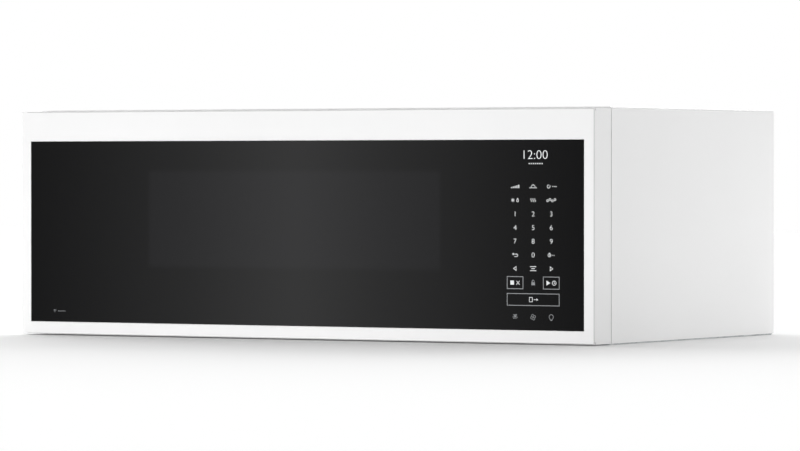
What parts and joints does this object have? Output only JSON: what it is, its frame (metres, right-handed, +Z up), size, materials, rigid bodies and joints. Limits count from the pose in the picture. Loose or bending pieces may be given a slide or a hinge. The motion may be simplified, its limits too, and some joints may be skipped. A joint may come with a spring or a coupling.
{
  "type": "over the range microwave oven",
  "caption": "Low-profile wide microwave oven with a black glass door hinged at the left, touch controls in the door, turntable, exhaust blower and grease filters.",
  "frame": {"origin": "on the surface that the base pan stands on, midway between the sides and between the door glass and the wall", "axes": "+X to the right seen from the front, +Y towards the wall, +Z up; the door faces -Y"},
  "size_m": [0.759, 0.446, 0.2625],
  "materials": {
    "white_steel": "white powder coat, satin",
    "galvanised_steel": "bare zinc-coated sheet",
    "cavity_enamel": "light grey baked enamel",
    "black_glass": "black printed and polished",
    "clear_glass": "pressed clear glass",
    "clear_sheet": "thin clear sheet",
    "black_plastic": "moulded, fine texture",
    "white_plastic": "moulded nylon",
    "grey_plastic": "moulded, satin",
    "frosted_lens": "frosted polycarbonate",
    "mica": "pressed mica sheet",
    "filter_aluminium": "expanded mesh and folded frame",
    "cast_aluminium": "pressed fins",
    "core_steel": "varnished laminations",
    "copper_winding": "enamelled copper wire",
    "circuit_board": "solder mask",
    "display_glass": "display module",
    "screen_steel": "perforated and black coated",
    "plated_steel": "zinc plated"
  },
  "bodies": {
    "cabinet": {"outer_wrap": "white_steel", "base_pan": "galvanised_steel", "front_frame": "cavity_enamel", "latch_plate": "cavity_enamel", "oven_floor": "cavity_enamel", "rear_panel": "galvanised_steel", "rear_cover": "galvanised_steel", "oven_cavity": "cavity_enamel", "top_rail": "galvanised_steel", "cord_bush": "black_plastic", "hinge_arms": "plated_steel", "component_shelf": "galvanised_steel", "waveguide": "galvanised_steel", "waveguide_cover": "mica", "magnetron_frame": "plated_steel", "magnetron_core": "cast_aluminium", "transformer_core": "core_steel", "transformer_windings": "copper_winding", "high_voltage_capacitor": "cast_aluminium", "fan_shroud": "black_plastic", "fan_motor": "core_steel", "power_board": "circuit_board", "air_duct": "black_plastic", "cavity_lamp": "white_plastic", "blower_scroll_left": "galvanised_steel", "blower_scroll_right": "galvanised_steel", "blower_motor": "core_steel", "lamp_lenses": "frosted_lens", "lamp_housings": "white_plastic", "lamp_boards": "circuit_board", "turntable_motor": "plated_steel", "latch_board": "black_plastic", "interlock_switches": "grey_plastic", "release_actuator": "plated_steel"},
    "door": {"door_frame": "white_steel", "door_glass": "black_glass", "door_inner_panel": "cavity_enamel", "window_screen": "screen_steel", "inner_window": "clear_sheet", "choke_cover": "grey_plastic", "control_carrier": "black_plastic", "touch_board": "circuit_board", "display_module": "display_glass", "hinge_bushes": "white_plastic"},
    "latch": {"latch_bar": "white_plastic", "latch_spring": "plated_steel"},
    "release": {"release_slide": "grey_plastic"},
    "tray_drive": {"motor_shaft": "plated_steel", "drive_coupler": "white_plastic"},
    "tray": {"turntable_tray": "clear_glass"},
    "roller_frame": {"roller_support": "white_plastic"},
    "roller_a": {"roller_1": "white_plastic"},
    "roller_b": {"roller_2": "white_plastic"},
    "roller_c": {"roller_3": "white_plastic"},
    "blower_rotor": {"blower_shaft": "plated_steel", "blower_wheel_left": "white_plastic", "blower_wheel_right": "white_plastic"},
    "cooling_fan": {"fan_rotor": "white_plastic"},
    "filter_left": {"grease_filter_left": "filter_aluminium"},
    "filter_right": {"grease_filter_right": "filter_aluminium"}
  },
  "joints": [
    {"name": "door_hinge", "type": "hinge", "parent": "cabinet", "child": "door", "pos_m": [-0.3675, -0.1962, 0.13125], "axis": [0, 0, -1], "range_deg": [0, 95]},
    {"name": "release_lift", "type": "slide", "parent": "cabinet", "child": "release", "axis": [0, 0, 1], "range_m": [0, 0.005], "stiffness_N_per_m": 300},
    {"name": "latch_lift", "type": "slide", "parent": "door", "child": "latch", "axis": [0, 0, 1], "range_m": [0, 0.005], "deforming": ["latch_spring"]},
    {"name": "tray_turn", "type": "hinge", "parent": "cabinet", "child": "tray_drive", "pos_m": [-0.0085, -0.03, 0.0626], "axis": [0, 0, 1], "continuous": true},
    {"name": "tray_lift", "type": "slide", "parent": "tray_drive", "child": "tray", "axis": [0, 0, 1], "range_m": [0, 0.06]},
    {"name": "roller_frame_turn", "type": "hinge", "parent": "cabinet", "child": "roller_frame", "pos_m": [-0.0085, -0.03, 0.0543], "axis": [0, 0, 1], "continuous": true},
    {"name": "blower_spin", "type": "hinge", "parent": "cabinet", "child": "blower_rotor", "pos_m": [0, 0.1722, 0.116], "axis": [1, 0, 0], "continuous": true},
    {"name": "fan_spin", "type": "hinge", "parent": "cabinet", "child": "cooling_fan", "pos_m": [0.317, 0.062, 0.158], "axis": [0, 1, 0], "continuous": true},
    {"name": "filter_left_drop", "type": "slide", "parent": "cabinet", "child": "filter_left", "axis": [0, 0, -1], "range_m": [0, 0.04]},
    {"name": "filter_right_drop", "type": "slide", "parent": "cabinet", "child": "filter_right", "axis": [0, 0, -1], "range_m": [0, 0.04]},
    {"name": "roller_a_spin", "type": "hinge", "parent": "roller_frame", "child": "roller_a", "pos_m": [0.07117, 0.016, 0.0543], "axis": [0.866, 0.5, 0], "continuous": true},
    {"name": "roller_b_spin", "type": "hinge", "parent": "roller_frame", "child": "roller_b", "pos_m": [-0.08817, 0.016, 0.0543], "axis": [-0.866, 0.5, 0], "continuous": true},
    {"name": "roller_c_spin", "type": "hinge", "parent": "roller_frame", "child": "roller_c", "pos_m": [-0.0085, -0.122, 0.0543], "axis": [0, -1, 0], "continuous": true}
  ],
  "couplings": [
    {"joint": "latch_lift", "follows": "release_lift", "ratio": 1},
    {"joint": "roller_frame_turn", "follows": "tray_turn", "ratio": 0.5},
    {"joint": "roller_a_spin", "follows": "tray_turn", "ratio": -5.75},
    {"joint": "roller_b_spin", "follows": "tray_turn", "ratio": -5.75},
    {"joint": "roller_c_spin", "follows": "tray_turn", "ratio": -5.75}
  ]
}
